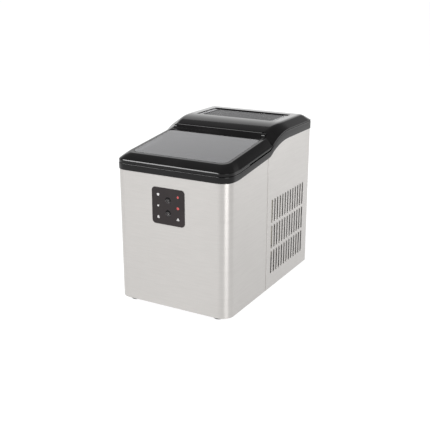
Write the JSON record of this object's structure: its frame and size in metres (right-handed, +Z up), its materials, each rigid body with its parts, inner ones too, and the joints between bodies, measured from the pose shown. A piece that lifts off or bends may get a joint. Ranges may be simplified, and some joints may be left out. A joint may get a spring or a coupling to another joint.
{
  "type": "ice maker",
  "caption": "Countertop ice maker: brushed steel case, black sloping lid with smoked window, raised rear housing with top grille, side vents, control panel and working ice unit.",
  "frame": {"origin": "centre of the bottom of the bounding box, on the plane the feet stand on", "axes": "+X to the right seen from the front, +Y to the back (control panel faces -Y), +Z up"},
  "size_m": [0.242, 0.358, 0.328],
  "materials": {
    "steel": "brushed stainless sheet, fine level grain",
    "black_gloss": "glossy black moulded plastic",
    "smoked": "smoked clear plastic, glossy",
    "black_matte": "fine grained black plastic",
    "panel_print": "dark brown-grey printed overlay, satin gloss",
    "button_cap": "glossy black push caps",
    "lens_white": "milky indicator windows",
    "lens_red": "red indicator windows",
    "rubber": "black rubber",
    "zinc": "zinc plated steel",
    "bolt_steel": "plain bright steel",
    "white_plastic": "white moulded plastic",
    "foam": "pale insulation foam",
    "basket_plastic": "pale translucent plastic",
    "nickel": "nickel plated copper",
    "copper": "drawn copper tube",
    "brass": "machined brass",
    "black_paint": "black enamel",
    "aluminium": "plain aluminium fins",
    "board_green": "green circuit board",
    "clear_hose": "milky silicone hose"
  },
  "bodies": {
    "case": {"front_wrap": "steel", "rear_wrap": "steel", "base_tray": "zinc", "rubber_feet": "rubber", "foot_screws": "bolt_steel", "top_collar": "black_gloss", "case_screws": "bolt_steel", "rear_cover": "black_gloss", "top_grille": "black_matte", "hinge_pins": "bolt_steel", "panel_overlay": "panel_print", "white_indicators": "lens_white", "red_indicators": "lens_red", "panel_housing": "black_matte", "control_board": "board_green", "tact_switches": "black_matte", "water_reservoir": "white_plastic", "foam_jacket": "foam", "unit_frame": "white_plastic", "tray_motor": "black_matte", "evaporator": "nickel", "compressor": "black_paint", "compressor_grommets": "rubber", "compressor_bolts": "bolt_steel", "fan_shroud": "black_matte", "fan_motor": "black_matte", "condenser": "aluminium", "suction_line": "copper", "liquid_line": "copper", "hot_gas_valve": "brass", "discharge_line": "copper", "filter_drier": "copper", "water_pump": "black_matte", "supply_hose": "clear_hose", "fill_hose": "clear_hose", "drain_hose": "clear_hose", "drain_port": "white_plastic", "cord_gland": "black_matte", "board_bracket": "zinc", "power_board": "board_green", "board_spacers": "white_plastic", "ice_sensors": "black_matte"},
    "lid": {"lid_frame": "black_gloss", "lid_window": "smoked"},
    "basket": {"ice_basket": "basket_plastic"},
    "tray": {"water_tray": "white_plastic"},
    "rake": {"ice_rake": "white_plastic"},
    "fan": {"fan_rotor": "black_matte"},
    "power_key": {"power_button": "button_cap"},
    "select_key": {"select_button": "button_cap"},
    "plug": {"drain_plug": "rubber"}
  },
  "joints": [
    {"name": "lid_hinge", "type": "hinge", "parent": "case", "child": "lid", "pos_m": [0, 0.004, 0.309], "axis": [-1, 0, 0], "range_deg": [0, 105]},
    {"name": "basket_lift", "type": "slide", "parent": "case", "child": "basket", "axis": [0, 0, 1], "range_m": [0, 0.035]},
    {"name": "tray_tilt", "type": "hinge", "parent": "case", "child": "tray", "pos_m": [0, -0.028, 0.208], "axis": [-1, 0, 0], "range_deg": [0, 57]},
    {"name": "rake_sweep", "type": "hinge", "parent": "case", "child": "rake", "pos_m": [0, -0.028, 0.208], "axis": [-1, 0, 0], "range_deg": [0, 86]},
    {"name": "fan_spin", "type": "hinge", "parent": "case", "child": "fan", "pos_m": [0.078, 0.097, 0.112], "axis": [1, 0, 0], "continuous": true},
    {"name": "power_press", "type": "slide", "parent": "case", "child": "power_key", "axis": [0, 1, 0], "range_m": [0, 0.0006], "stiffness_N_per_m": 1200, "springref_m": -0.0003},
    {"name": "select_press", "type": "slide", "parent": "case", "child": "select_key", "axis": [0, 1, 0], "range_m": [0, 0.0006], "stiffness_N_per_m": 1200, "springref_m": -0.0003},
    {"name": "plug_pull", "type": "slide", "parent": "case", "child": "plug", "axis": [0, 1, 0], "range_m": [0, 0.02]}
  ],
  "couplings": [
    {"joint": "rake_sweep", "follows": "tray_tilt", "ratio": 1.5}
  ]
}
